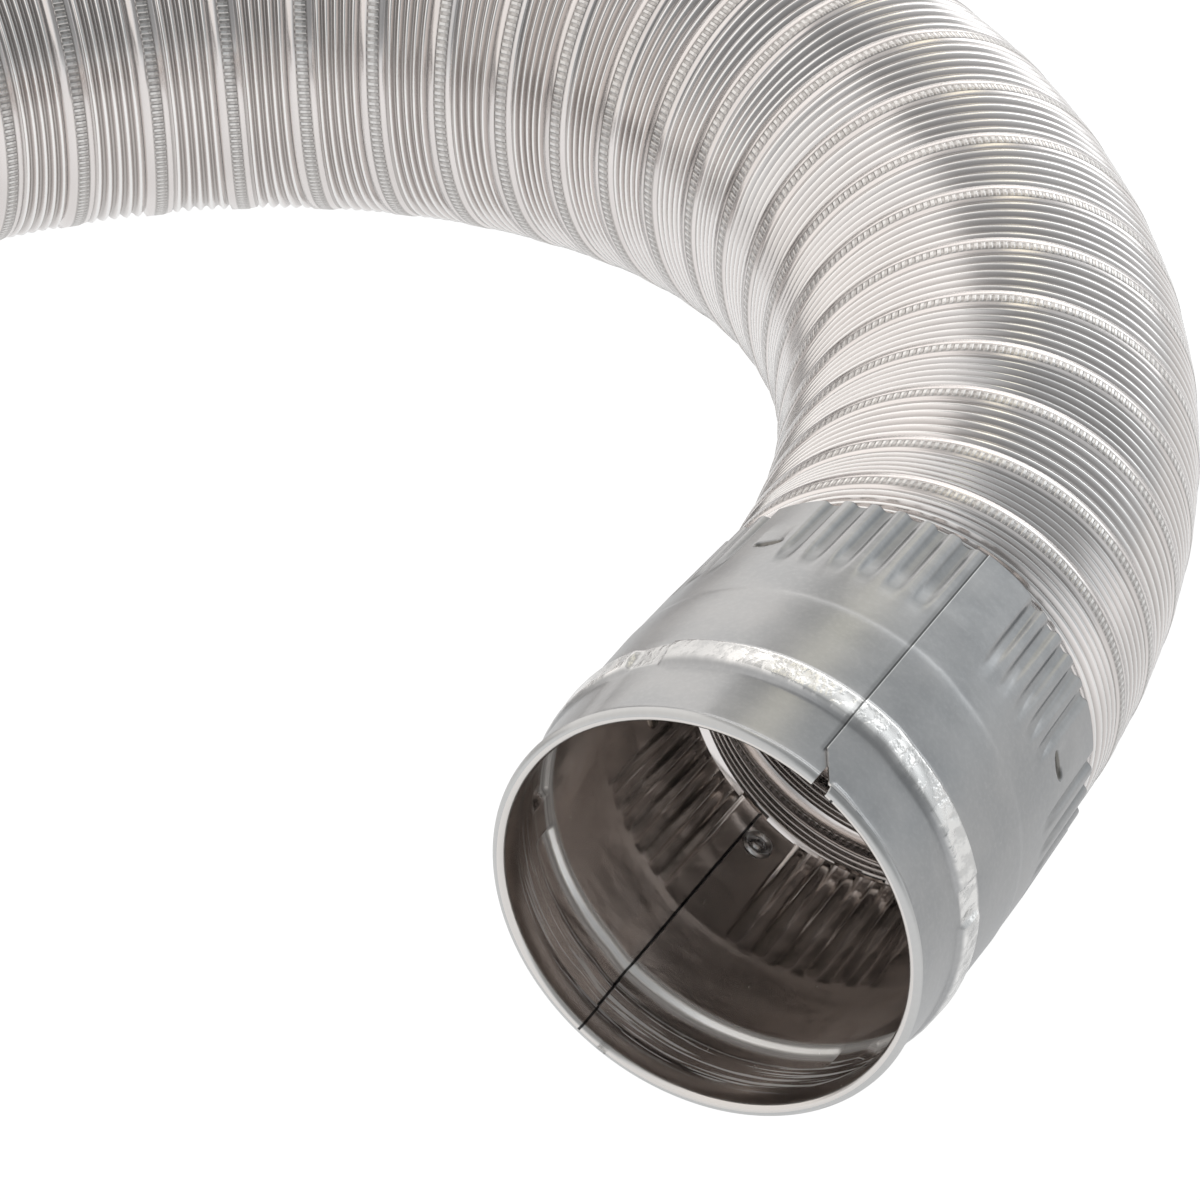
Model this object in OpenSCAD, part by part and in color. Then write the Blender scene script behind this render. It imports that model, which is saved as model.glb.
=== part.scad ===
// Flexible air duct: a wound aluminium tube with a sheet steel collar on each end.
// Origin: centre of the front collar's mouth. +Y runs into the duct, +Z is up.

/* [Duct] */
// Diameter over the ribs, mm
duct_diameter = 100; // [96:0.5:101]
// Depth of a rib, mm
rib_depth = 1.6; // [0.8:0.1:2.0]
// Wall left under the ribs, mm
duct_wall = 1.3; // [1.2:0.1:2.0]
// Turns of strip over the whole length
strip_turns = 37; // [37:1:37]

/* [Collar] */
// Bore of the mouth, for a 100 mm spigot, mm
mouth_bore = 100.4; // [99.8:0.1:100.8]
// Length of the collar, mm
collar_length = 97; // [95:1:99]
// Thickness of the collar's sheet, mm
sheet = 0.6; // [0.4:0.1:0.8]
// Height of the bead over the sheet, mm
bead_height = 1.3; // [0.8:0.1:1.5]
// Depth of the flutes at the rear edge, mm
flute_depth = 1.4; // [0.8:0.1:1.6]
// Diameter of the rivet heads, mm
rivet_head = 5.4; // [4:0.2:7]

/* [Colours] */
// Colour of the duct
duct_colour = "Gainsboro"; // [Gainsboro, Silver, LightGray]
// Colour of the collars
collar_colour = "SlateGray"; // [SlateGray, Gray, DarkGray]

/* [Hidden] */
// the duct's centreline, lying on the floor in a U
route = [
    [0, 91, 0], [-7, 152, -1], [-26, 209, -3], [-57, 260, -4.6], [-101, 302, -5],
    [-155, 327, -5], [-215, 331, -5], [-272, 314, -5], [-321, 279, -5], [-359, 232, -4.9],
    [-391, 171, -3.9], [-411, 105, -2], [-418, 36, -0.4], [-418, -10, 0], [-418, -56, 0],
    [-418, -103, 0]
];
rear_mouth = [-418, -194, 0];

// collar: angles are round its axis and lengths from its mouth
// where the outer edge of the right half lies, and how far the halves lap over each other
seam_angle = 62;
lap_angle = 9;
joggle_angle = 1.2;
sheet_gap = 0.05;
half_span = 188.7;
// the folded lip
mouth_r = mouth_bore / 2;
hem_width = 1.7;
rim_r = mouth_r + hem_width + sheet;
hem_length = 8.5;
// the cut corners that let one lip pass the other
notch_length = 9.5;
corner_angle = 5;
corner_length = 7;
// the sheet before and behind the bead
front_r = rim_r + 0.3;
body_r = rim_r + 1.1;
bead_z = 25;
bead_half = 5.5;
crease_z = 54;
crease_depth = 0.4;
flute_z = 71;
flute_run = 2;
// the flutes' crests and valleys at the rear edge
crest_end_r = 51.3;
valley_end_r = crest_end_r - flute_depth;
// the tabs pushed inwards among the flutes
lance_angles = [52.5, 127.5];
lance_half = 4;
lance_z = [76.5, 88];
lance_depth = 1.6;
bead_gaps = [[52.5, 60.5], [119.5, 127.5]];
// groups of flutes in each half, as angles from its outer edge: from, to, how many
flute_groups = [[14, 47.6, 5], [60.5, 119.5, 8], [132.3, 178, 6]];
hem_end = 183;
// how far an added length of sheet reaches into what it joins
bury = 0.08;
// sheet left beside a crest's hollow, in degrees
web = 0.7;
rivet_z = 86;
rivet_r = 1.6;
inner_head = 0.8;
outer_head = 0.4;
rivet_clearance = 0.05;
// the heads are flat and the sheet is curved, so they stand this far off it
rivet_gap = 0.25;
lap_shift = sheet + sheet_gap;
fine = 180;

// duct
sides = 11;
// the flat under the duct lies half a millimetre inside its circle
flat_cut = 0.5;
crest_r = (duct_diameter / 2 - flat_cut) / cos(180 / sides);
valley_r = crest_r - rib_depth;
bore_r = valley_r - duct_wall;
end_r = valley_end_r - sheet - 0.3;
end_run = 8;
samples = 12;
// share of a turn that its flat seam land takes, and the grooves in the rest
seam_land = 0.24;
grooves = 4;
section_gap = 0.3;

// ---------- collar ----------

// radius outside the sheet at a distance from the mouth, along a crest of the flutes
function sheet_r(z) = lookup(z, [
    [0, rim_r], [3, rim_r], [bead_z - bead_half, front_r], [bead_z + bead_half, body_r],
    [crease_z, body_r - 0.3], [crease_z + 1, body_r - 0.3 - crease_depth],
    [flute_z, rim_r + 0.1], [collar_length, crest_end_r]
]);

// radius outside the sheet along the bottom of a flute
function valley_out_r(z) = lookup(z, [
    [flute_z, sheet_r(flute_z)], [flute_z + flute_run, sheet_r(flute_z + flute_run) - flute_depth],
    [collar_length, valley_end_r]
]);

// the bead's height over the sheet
function bead_at(z) =
    let (t = (z - bead_z) / bead_half) abs(t) >= 1 ? 0 : bead_height * pow(cos(90 * t), 0.8);

bead_steps = [for (i = [-4:4]) bead_z + bead_half * i / 4];
outer_steps = concat([1, 3], bead_steps, [crease_z, crease_z + 1, flute_z, collar_length]);
deep = flute_z + flute_run;

// a length of sheet turned about the collar's axis, from one angle to another
module turned(from, to) {
    rotate([0, 0, -to])
        rotate_extrude(angle = to - from, $fn = fine)
            children();
}

function back(list) = [for (i = [len(list) - 1:-1:0]) list[i]];

// the pressed sheet's surface between two distances from the mouth, moved out by a shift
function face_line(from, to, shift) = [
    for (z = concat([from], [for (z = outer_steps) if (z > from && z < to) z], [to]))
        [sheet_r(z) + bead_at(z) + shift, z]
];

// outline of a band between two shifts of the surface
module band(from, to, inner, outer) {
    polygon(concat(face_line(from, to, outer), back(face_line(from, to, inner))));
}

// outline of a whole half: folded lip, bead, crease, and room for the flutes
module body_outline() {
    polygon(concat(
        [[mouth_r, 0], [rim_r - 0.8, 0], [rim_r - 0.2, 0.3]],
        face_line(1, collar_length, 0),
        [[valley_end_r - sheet, collar_length], [valley_out_r(deep) - sheet, deep]],
        back(face_line(hem_length, flute_z, -sheet)),
        [[mouth_r, hem_length - 0.4]]
    ));
}

// what a valley leaves out on the outside
module valley_outline() {
    start = flute_z + 0.2;
    far = collar_length + 1;
    polygon([
        [sheet_r(start) + 0.2, start], [valley_out_r(deep), deep], [valley_end_r, collar_length],
        [valley_end_r, far], [rim_r + 2, far], [rim_r + 2, start]
    ]);
}

// what a crest leaves out on the inside
module crest_outline() {
    start = flute_z + 0.15;
    far = collar_length + 1;
    low = valley_end_r - sheet - 1;
    polygon([
        [sheet_r(start) - sheet - 0.15, start], [sheet_r(deep) - sheet, deep],
        [crest_end_r - sheet, collar_length], [crest_end_r - sheet, far], [low, far], [low, start]
    ]);
}

// the tab that a lance pushes inwards, and the opening that it leaves
module tab_outline() {
    root = lance_z[1] + 0.6;
    r0 = sheet_r(lance_z[0]) - lance_depth;
    r1 = sheet_r(root) - bury;
    thick = sheet - 2 * bury;
    polygon([[r0, lance_z[0] + 1], [r1, root], [r1 - thick, root], [r0 - thick, lance_z[0] + 1]]);
}
module block_outline(from, to) {
    translate([mouth_r - 4, from])
        square([12, to - from]);
}

module rivet_hole(angle) {
    rotate([0, 0, -angle])
        translate([valley_end_r - 4, 0, rivet_z])
            rotate([0, 90, 0])
                cylinder(h = 10, r = rivet_r + rivet_clearance, $fn = 48);
}

// one half shell, whose lap lies outside at the angle "edge"
module half_shell(edge) {
    color(collar_colour)
    difference() {
        union() {
            difference() {
                turned(edge - half_span, edge - corner_angle) body_outline();
                turned(edge - lap_angle, edge) block_outline(hem_length - 0.2, collar_length + 1);
                turned(edge - half_span - 1, edge - hem_end) block_outline(-1, notch_length);
                for (g = bead_gaps)
                    turned(edge - g[1], edge - g[0])
                        block_outline(bead_z - bead_half - 0.1, bead_z + bead_half + 0.1);
                for (g = flute_groups) flutes(edge, g);
                plain_lengths(edge);
                for (a = lance_angles)
                    turned(edge - a - lance_half, edge - a + lance_half)
                        block_outline(lance_z[0], lance_z[1]);
            }
            for (g = bead_gaps)
                turned(edge - g[1] - 0.4, edge - g[0] + 0.4) gap_outline();
            for (a = lance_angles)
                turned(edge - a - lance_half + 0.3, edge - a + lance_half - 0.3) tab_outline();
            lap(edge);
        }
        rivet_hole(edge - lap_angle / 2);
        rivet_hole(edge - 180 - lap_angle / 2);
    }
}

// the plain sheet between two lengths of bead
module gap_outline() {
    from = bead_z - bead_half - 0.5;
    to = bead_z + bead_half + 0.5;
    polygon([
        [sheet_r(from) - bury, from], [sheet_r(to) - bury, to],
        [sheet_r(to) - sheet + bury, to], [sheet_r(from) - sheet + bury, from]
    ]);
}

// the valleys cut from outside and the crests cut from inside, in one group of flutes
module flutes(edge, group) {
    pitch = (group[1] - group[0]) / group[2];
    for (i = [0:group[2] - 1]) {
        middle = edge - group[0] - pitch * (i + 0.5);
        turned(middle - pitch / 4, middle + pitch / 4) valley_outline();
    }
    for (i = [1:group[2] - 1]) {
        middle = edge - group[0] - pitch * i;
        turned(middle - pitch / 4 + web, middle + pitch / 4 - web) crest_outline();
    }
}

// the lengths without flutes, cut from inside
module plain_lengths(edge) {
    last = len(flute_groups) - 1;
    for (i = [0:last + 1]) {
        start = i == 0 ? -1 : flute_groups[i - 1][1] - flute_pitch(i - 1) / 4 + web;
        end = i > last ? half_span + 1 : flute_groups[i][0] + flute_pitch(i) / 4 - web;
        turned(edge - end, edge - start) crest_outline();
    }
}
function flute_pitch(i) = (flute_groups[i][1] - flute_groups[i][0]) / flute_groups[i][2];

// the lap outside the other half, with its corner at the mouth cut across
module lap(edge) {
    corner = rim_r * sin(corner_angle - 0.6);
    difference() {
        turned(edge - lap_angle - joggle_angle, edge)
            band(0.3, collar_length, sheet_gap, lap_shift);
        rotate([0, 0, -edge])
            rotate([90, 0, 90])
                translate([0, 0, rim_r - 6])
                    linear_extrude(12)
                        polygon([[-1, -1], [corner, -1], [0, corner_length], [-1, corner_length]]);
    }
    // the joggle that carries it
    turned(edge - lap_angle - joggle_angle + 0.2, edge - lap_angle - 0.2)
        band(1.5, collar_length - 1, -sheet / 2, lap_shift - sheet / 2);
}

// the rivet through each lap, with its larger head inside
module rivets() {
    for (a = [seam_angle, seam_angle + 180])
        rotate([0, 0, -(a - lap_angle / 2)])
            translate([0, 0, rivet_z])
                rotate([0, 90, 0]) {
                    inside = sheet_r(rivet_z) - sheet - rivet_gap;
                    outside = sheet_r(rivet_z) + lap_shift + rivet_gap;
                    color(collar_colour) {
                        translate([0, 0, inside - inner_head])
                            cylinder(h = inner_head, r = rivet_head / 2, $fn = 48);
                        translate([0, 0, inside - 0.1])
                            cylinder(h = outside - inside + 0.2, r = rivet_r, $fn = 48);
                        translate([0, 0, outside])
                            cylinder(h = outer_head, r = rivet_head / 2 - 0.4, $fn = 48);
                    }
                }
}

module at_collar(place) {
    translate(place)
        rotate([-90, 0, 0])
            children();
}

// ---------- duct ----------

function unit(v) = v / norm(v);
last = len(route) - 1;
// the ends run square out of the collars
before = [route[1][0], 2 * route[0][1] - route[1][1], route[1][2]];
after = [route[last - 1][0], 2 * route[last][1] - route[last - 1][1], route[last - 1][2]];
line = concat([before], route, [after]);

function on_curve(i, t) =
    let (a = line[i], b = line[i + 1], c = line[i + 2], d = line[i + 3])
    0.5 * (2 * b + (c - a) * t + (2 * a - 5 * b + 4 * c - d) * t * t
        + (3 * b - a - 3 * c + d) * t * t * t);

points = [for (i = [0:last - 1], k = [0:samples - 1]) on_curve(i, k / samples), route[last]];
function lengths(i, sum) =
    i == len(points) ? [] : concat([sum], lengths(i + 1, sum + step_length(i)));
function step_length(i) = i + 1 < len(points) ? norm(points[i + 1] - points[i]) : 0;
reach = lengths(0, 0);
total = reach[len(reach) - 1];
along_x = [for (i = [0:len(points) - 1]) [reach[i], points[i][0]]];
along_y = [for (i = [0:len(points) - 1]) [reach[i], points[i][1]]];
along_z = [for (i = [0:len(points) - 1]) [reach[i], points[i][2]]];

// a place on the centreline, and the way it runs there
function place(s) = [lookup(s, along_x), lookup(s, along_y), lookup(s, along_z)];
function heading(s) =
    s < 5 ? [0, 1, 0] : s > total - 5 ? [0, -1, 0] : unit(place(s + 5) - place(s - 5));

// one ring of the tube, square to the centreline, with a flat downwards
function ring(s, r) =
    let (c = place(s), t = heading(s), across = unit(cross(t, [0, 0, 1])), up = cross(across, t))
    [for (k = [0:sides - 1]) let (a = -90 + 180 / sides + 360 * k / sides)
        c + r * (cos(a) * across + sin(a) * up)];

pitch = total / strip_turns;
// radius over the ribs: squeezed where the collar grips it
function squeezed(s, r) =
    let (from_end = min(s, total - s))
    from_end >= 2 * end_run ? r
        : from_end <= end_run ? r - crest_r + end_r
        : r - (crest_r - end_r) * (2 * end_run - from_end) / end_run;

// each turn of strip has its seam on a flat land and then its grooves, as [share of the turn, on a crest]
groove_steps = [for (i = [1:2 * grooves - 1]) [seam_land + (1 - seam_land) * i / (2 * grooves), i % 2 == 0]];
turn_form = concat([[0, true], [seam_land, true]], groove_steps);

// a length of duct, from the start of one turn to the end of another, as one closed form
module duct(first, end) {
    from = first * pitch + section_gap / 2;
    to = end * pitch - section_gap / 2;
    outside = [for (i = [first:end - 1], f = turn_form)
        [max(from, (i + f[0]) * pitch), f[1] ? crest_r : valley_r]];
    inside = [for (i = [end:-1:first]) [min(to, max(from, i * pitch)), bore_r]];
    stations = concat(outside, [[to, crest_r]], inside);
    rows = len(stations);
    dots = [for (p = stations) each ring(p[0], squeezed(p[0], p[1]))];
    faces = [for (i = [0:rows - 1], k = [0:sides - 1], half = [0, 1])
        let (a = i * sides, b = ((i + 1) % rows) * sides, n = (k + 1) % sides)
        half == 0 ? [a + k, b + k, b + n] : [a + k, b + n, a + n]];
    color(duct_colour)
        polyhedron(points = dots, faces = faces, convexity = 10);
}

// ---------- nodes ----------

module front_right_shell() { at_collar([0, 0, 0]) half_shell(seam_angle); }
module front_left_shell() { at_collar([0, 0, 0]) half_shell(seam_angle + 180); }
module front_rivets() { at_collar([0, 0, 0]) rivets(); }
module duct_front_end() { duct(0, 1); }
module duct_front_stretch() { duct(1, 5); }
module duct_front_run() { duct(5, 6); }
module duct_front_lift() { duct(6, 9); }
module duct_front_ring() { duct(9, 10); }
module duct_front_turn() { duct(10, 13); }
module duct_middle() { duct(13, 25); }
module duct_rear_turn() { duct(25, 28); }
module duct_rear_ring() { duct(28, 29); }
module duct_rear_lift() { duct(29, 32); }
module duct_rear_run() { duct(32, 33); }
module duct_rear_stretch() { duct(33, 36); }
module duct_rear_end() { duct(36, 37); }
module rear_right_shell() { at_collar(rear_mouth) half_shell(seam_angle); }
module rear_left_shell() { at_collar(rear_mouth) half_shell(seam_angle + 180); }
module rear_rivets() { at_collar(rear_mouth) rivets(); }

front_right_shell();
front_left_shell();
front_rivets();
duct_front_end();
duct_front_stretch();
duct_front_run();
duct_front_lift();
duct_front_ring();
duct_front_turn();
duct_middle();
duct_rear_turn();
duct_rear_ring();
duct_rear_lift();
duct_rear_run();
duct_rear_stretch();
duct_rear_end();
rear_right_shell();
rear_left_shell();
rear_rivets();
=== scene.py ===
import math

import bpy
import numpy as np
from mathutils import Matrix, Vector


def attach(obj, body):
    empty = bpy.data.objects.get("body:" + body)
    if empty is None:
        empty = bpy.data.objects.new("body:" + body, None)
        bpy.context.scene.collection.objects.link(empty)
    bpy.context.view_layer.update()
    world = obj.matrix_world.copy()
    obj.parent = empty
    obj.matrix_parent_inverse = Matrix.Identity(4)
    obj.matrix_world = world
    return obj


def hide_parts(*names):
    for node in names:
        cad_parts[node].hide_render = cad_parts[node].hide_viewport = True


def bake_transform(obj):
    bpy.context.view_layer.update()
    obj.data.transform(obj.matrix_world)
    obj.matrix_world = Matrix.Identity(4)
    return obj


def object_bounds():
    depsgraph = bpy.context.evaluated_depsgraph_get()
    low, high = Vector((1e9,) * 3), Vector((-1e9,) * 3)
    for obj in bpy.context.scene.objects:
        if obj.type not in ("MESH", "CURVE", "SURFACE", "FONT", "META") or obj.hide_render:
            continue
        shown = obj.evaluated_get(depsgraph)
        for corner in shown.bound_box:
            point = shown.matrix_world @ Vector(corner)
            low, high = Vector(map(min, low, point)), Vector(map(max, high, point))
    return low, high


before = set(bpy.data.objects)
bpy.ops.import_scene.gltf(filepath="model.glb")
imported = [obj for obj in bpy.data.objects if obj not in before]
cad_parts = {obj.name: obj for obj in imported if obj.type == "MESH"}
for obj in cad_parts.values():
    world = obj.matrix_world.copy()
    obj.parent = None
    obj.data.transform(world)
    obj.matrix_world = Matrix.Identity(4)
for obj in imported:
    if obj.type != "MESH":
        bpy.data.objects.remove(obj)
CAD_BOX = [list(map(float, c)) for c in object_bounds()]

# A flexible air duct with a sheet steel collar on each end. Lengths are in metres, with x to the right, y to
# the back and z up. The origin is the middle of the front collar's mouth, and the duct bends to the left.
MM = 0.001


# ---------- camera ----------

def make_camera():
    tilt_down, turn_left = 0.58988, 0.46043
    data = bpy.data.cameras.new("camera")
    data.lens = 309.144
    data.sensor_width = 36.0
    data.shift_x = 0.00168
    data.shift_y = 0.0018
    data.clip_end = 20.0
    camera = bpy.data.objects.new("camera", data)
    camera.location = (0.80578, -1.67715, 1.32936)
    camera.rotation_euler = (math.pi / 2 - tilt_down, 0.0, turn_left)
    bpy.context.scene.collection.objects.link(camera)
    bpy.context.scene.camera = camera


make_camera()


# ---------- shader maths ----------

# sockets of a Mix node that mixes colours, by number, because their names occur more than once
MIX_FACTOR, MIX_A, MIX_B, MIX_RESULT = 0, 6, 7, 2


class Wire:
    """A value socket: arithmetic on it adds Math nodes."""

    def __init__(self, shop, socket):
        self.shop, self.socket = shop, socket

    def math(self, operation, *others):
        return self.shop.math(operation, self, *others)

    def __add__(self, other): return self.math("ADD", other)
    def __radd__(self, other): return self.math("ADD", other)
    def __sub__(self, other): return self.math("SUBTRACT", other)
    def __rsub__(self, other): return self.shop.math("SUBTRACT", other, self)
    def __mul__(self, other): return self.math("MULTIPLY", other)
    def __rmul__(self, other): return self.math("MULTIPLY", other)
    def fract(self): return self.math("FRACT")
    def abs(self): return self.math("ABSOLUTE")
    def sin(self): return self.math("SINE")
    def max(self, other): return self.math("MAXIMUM", other)

    def step(self, low, high, a=0.0, b=1.0):
        """Smooth from a to b as the value goes from low to high."""
        return self.shop.node(
            "ShaderNodeMapRange", {"interpolation_type": "SMOOTHSTEP"},
            Value=self, **{"From Min": low, "From Max": high, "To Min": a, "To Max": b}).out("Result")

    def towards(self, other, share):
        """From this value at share 0 to the other one at share 1."""
        return self + share * (other - self)


class Node:
    """A node whose outputs come out as wires."""

    def __init__(self, shop, node):
        self.shop, self.node = shop, node

    def out(self, name=0):
        return Wire(self.shop, self.node.outputs[name])


class Shop:
    """Makes the nodes of one material or of the world."""

    def __init__(self, holder, end="ShaderNodeOutputMaterial"):
        self.holder = holder
        holder.use_nodes = True
        self.tree = holder.node_tree
        self.tree.nodes.clear()
        self.end = self.tree.nodes.new(end)

    def feed(self, socket, value):
        """Links a wire to a socket, or sets a plain value on it."""
        if isinstance(value, Wire):
            self.tree.links.new(value.socket, socket)
        else:
            socket.default_value = value

    def node(self, kind, settings=None, *values, **named):
        node = self.tree.nodes.new(kind)
        for key, value in (settings or {}).items():
            setattr(node, key, value)
        for key, value in list(enumerate(values)) + list(named.items()):
            self.feed(node.inputs[key], value)
        return Node(self, node)

    def math(self, operation, *values):
        return self.node("ShaderNodeMath", {"operation": operation}, *values).out()

    def parts(self, vector):
        split = self.node("ShaderNodeSeparateXYZ", None, vector)
        return split.out("X"), split.out("Y"), split.out("Z")

    def uv(self, name):
        return self.parts(self.node("ShaderNodeUVMap", {"uv_map": name}).out("UV"))[:2]

    def vector(self, x, y):
        return self.node("ShaderNodeCombineXYZ", None, x, y).out("Vector")

    def noise(self, vector, scale, detail=3.0, rough=0.5):
        return self.node(
            "ShaderNodeTexNoise", None, Vector=vector, Scale=scale, Detail=detail, Roughness=rough).out(0)

    def mix(self, factor, a, b):
        """Mixes two colours, each a tuple or a wire."""
        mixer = self.node("ShaderNodeMix", {"data_type": "RGBA"})
        for number, value in ((MIX_FACTOR, factor), (MIX_A, a), (MIX_B, b)):
            self.feed(mixer.node.inputs[number], (*value, 1.0) if isinstance(value, tuple) else value)
        return mixer.out(MIX_RESULT)

    def bump(self, height, distance, strength=1.0):
        return self.node(
            "ShaderNodeBump", None, Height=height, Distance=distance, Strength=strength).out("Normal")

    def ends_in(self, shader):
        self.tree.links.new(shader.node.outputs[0], self.end.inputs["Surface"])
        return self.holder

    def metal(self, **sockets):
        return self.ends_in(self.node("ShaderNodeBsdfPrincipled", None, **{"Metallic": 1.0, **sockets}))


# ---------- curves and meshes ----------

def ease(x, low, high):
    """Smooth from 0 to 1 as x goes from low to high."""
    t = np.clip((x - low) / (high - low), 0, 1)
    return t * t * (3 - 2 * t)


def ripple(turn, phi, seed):
    """Small handmade unevenness, about -1 to 1, the same every time."""
    waves, slowness, spread = 7, 0.35, 4.5
    dice = np.random.RandomState(seed)
    out = 0
    for _ in range(waves):
        lobes, pace, shift = dice.uniform(0.2, 3.2), dice.uniform(0.05, 0.9) / slowness, dice.uniform(0, 6.28)
        out = out + dice.uniform(0.4, 1) * np.sin(np.round(lobes * 2) * phi + pace * turn + shift)
    return out / spread


def new_object(name, data):
    piece = bpy.data.objects.new(name, data)
    bpy.context.scene.collection.objects.link(piece)
    return piece


def quad_map(u0, u1, v0, v1):
    """Map of quads that go round from (u0, v0) over (u1, v0) and (u1, v1) to (u0, v1)."""
    return np.stack([u0, v0, u1, v0, u1, v1, u0, v1], axis=1)


def add_map(mesh, name, pairs):
    mesh.uv_layers.new(name=name).data.foreach_set("uv", pairs.astype(np.float32).ravel())


def sheet_mesh(name, points, quads, uvs, normals=None, pressed=None):
    """A smooth mesh: quads index points, uvs has a pair for each quad corner, pressed one for each point."""
    used, where = np.unique(quads, return_inverse=True)
    mesh = bpy.data.meshes.new(name)
    mesh.vertices.add(len(used))
    mesh.vertices.foreach_set("co", points[used].astype(np.float32).ravel())
    mesh.loops.add(quads.size)
    mesh.loops.foreach_set("vertex_index", where.astype(np.int32).ravel())
    mesh.polygons.add(len(quads))
    mesh.polygons.foreach_set("loop_start", np.arange(0, quads.size, 4, dtype=np.int32))
    mesh.update(calc_edges=True)
    add_map(mesh, "sheet_map", uvs)
    if pressed is not None:
        add_map(mesh, "press_map", pressed[quads.ravel()])
    mesh.polygons.foreach_set("use_smooth", np.ones(len(quads), dtype=bool))
    if normals is not None:
        mesh.normals_split_custom_set_from_vertices(normals[used].tolist())
    mesh.validate()
    return mesh


# ---------- the duct's route ----------

# the centreline's points from the front end to the rear one, the same as in the part's source
ROUTE = np.array([
    [0, 91, 0], [-7, 152, -1], [-26, 209, -3], [-57, 260, -4.6], [-101, 302, -5],
    [-155, 327, -5], [-215, 331, -5], [-272, 314, -5], [-321, 279, -5], [-359, 232, -4.9],
    [-391, 171, -3.9], [-411, 105, -2], [-418, 36, -0.4], [-418, -10, 0], [-418, -56, 0],
    [-418, -103, 0],
]) * MM
REAR_MOUTH = np.array([-418, -194, 0]) * MM
TURNS = 37
# the real tube is round underneath, so its sag is a little less than the flattened solid's
SAG = 0.84


def smooth_line(points):
    """A curve through the points that leaves both end points straight along y."""
    steps = 24
    first = [points[1][0], 2 * points[0][1] - points[1][1], points[1][2]]
    last = [points[-2][0], 2 * points[-1][1] - points[-2][1], points[-2][2]]
    p = np.vstack([first, points, last])
    t = np.linspace(0, 1, steps, endpoint=False)[:, None]
    runs = []
    for a, b, c, d in zip(p[:-3], p[1:-2], p[2:-1], p[3:]):
        runs.append(0.5 * (2 * b + (c - a) * t + (2 * a - 5 * b + 4 * c - d) * t ** 2
                           + (3 * b - a - 3 * c + d) * t ** 3))
    return np.vstack(runs + [points[-1:]])


def softened(values, width):
    """Running mean over width samples to each side, with the end values held."""
    padded = np.pad(values, (width, width), mode="edge")
    return np.convolve(padded, np.ones(2 * width + 1) / (2 * width + 1), mode="valid")


class Line:
    """The centreline at every millimetre along it, with its heading and its bend."""
    HEADING_BLUR, BEND_BLUR = 6, 12

    def __init__(self, points):
        dense = smooth_line(points)
        reach = np.concatenate([[0], np.cumsum(np.linalg.norm(np.diff(dense, axis=0), axis=1))])
        self.total = reach[-1]
        self.along = np.arange(0, self.total + 0.5 * MM, MM)
        self.points = np.stack([np.interp(self.along, reach, dense[:, i]) for i in range(3)], axis=1)
        way = np.gradient(self.points, axis=0)
        self.heading = softened(np.unwrap(np.arctan2(way[:, 1], way[:, 0])), self.HEADING_BLUR)
        self.bend = softened(np.gradient(self.heading, MM), self.BEND_BLUR)
        self.points[:, 2] *= SAG

    def at(self, s):
        s = np.clip(s, 0, self.total)
        points = np.stack([np.interp(s, self.along, self.points[:, i]) for i in range(3)], axis=-1)
        return points, np.interp(s, self.along, self.heading), np.interp(s, self.along, self.bend)


line = Line(ROUTE)
CAD_PITCH = line.total / TURNS

# the duct's nodes from front to rear: first and last turn in the part's source, then the body that carries
# the node, or the two bodies between which it bends or stretches and how much of each end stays stiff
SECTIONS = (
    ("front_end", 0, 1, "front_collar"),
    ("front_stretch", 1, 5, "front_collar", "front_run", 12 * MM),
    ("front_run", 5, 6, "front_run"),
    ("front_lift", 6, 9, "front_run", "front_ring", 10 * MM),
    ("front_ring", 9, 10, "front_ring"),
    ("front_turn", 10, 13, "front_ring", "middle", 12 * MM),
    ("middle", 13, 25, "middle"),
    ("rear_turn", 25, 28, "middle", "rear_ring", 8 * MM),
    ("rear_ring", 28, 29, "rear_ring"),
    ("rear_lift", 29, 32, "rear_ring", "rear_run", 5 * MM),
    ("rear_run", 32, 33, "rear_run"),
    ("rear_stretch", 33, 36, "rear_run", "rear_collar", 3 * MM),
    ("rear_end", 36, 37, "rear_collar"),
)


# ---------- the wound strip ----------

# where the lock seam crosses the top of the duct, mm from the duct's front end, and its step from crossing to
# crossing ahead of the first of them and behind the last
SEAMS = [2, 19, 36.5, 60.5, 81.5, 104.5, 129, 153.5, 178, 203, 228, 252, 276, 300, 323, 345, 369,
         394, 418, 444, 469, 494]
FRONT_STEP, REAR_STEP = 17, 24.0
# the strip is laid out from one turn to the other, well past both ends of the duct, and then cut
FIRST_TURN, LAST_TURN = -2, 40
crossings = np.array([SEAMS[0] + FRONT_STEP * k for k in range(FIRST_TURN, 0)] + SEAMS
                     + [SEAMS[-1] + REAR_STEP * (k + 1) for k in range(LAST_TURN - len(SEAMS) + 2)]) * MM

# mesh columns and knurls of the seam in a turn, and the radius over the ribs
AROUND, TEETH = 144, 178
CREST = 50.05 * MM
# the strip's length round a bend is right at this share of CREST, in the middle of the ribs' depth
MID_DEPTH = 0.98

# the land along the seam, mm from the seam's middle, and the rise of each of its rows above the crests
LAND_FROM, LAND_TO = -3.0, 4.0
LAND = (LAND_TO - LAND_FROM) * MM
LAND_ROWS = np.array([LAND_FROM, -2.4, -1.75, -1.4, -1.1, -0.4, 0.4, 1.1, 1.4, 1.75, 3.3]) * MM
LAND_RISE = np.array([-0.25, -0.12, 0, 0.05, 0.16, 0.2, 0.2, 0.19, 0.17, 0.17, 0.22]) * MM
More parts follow.
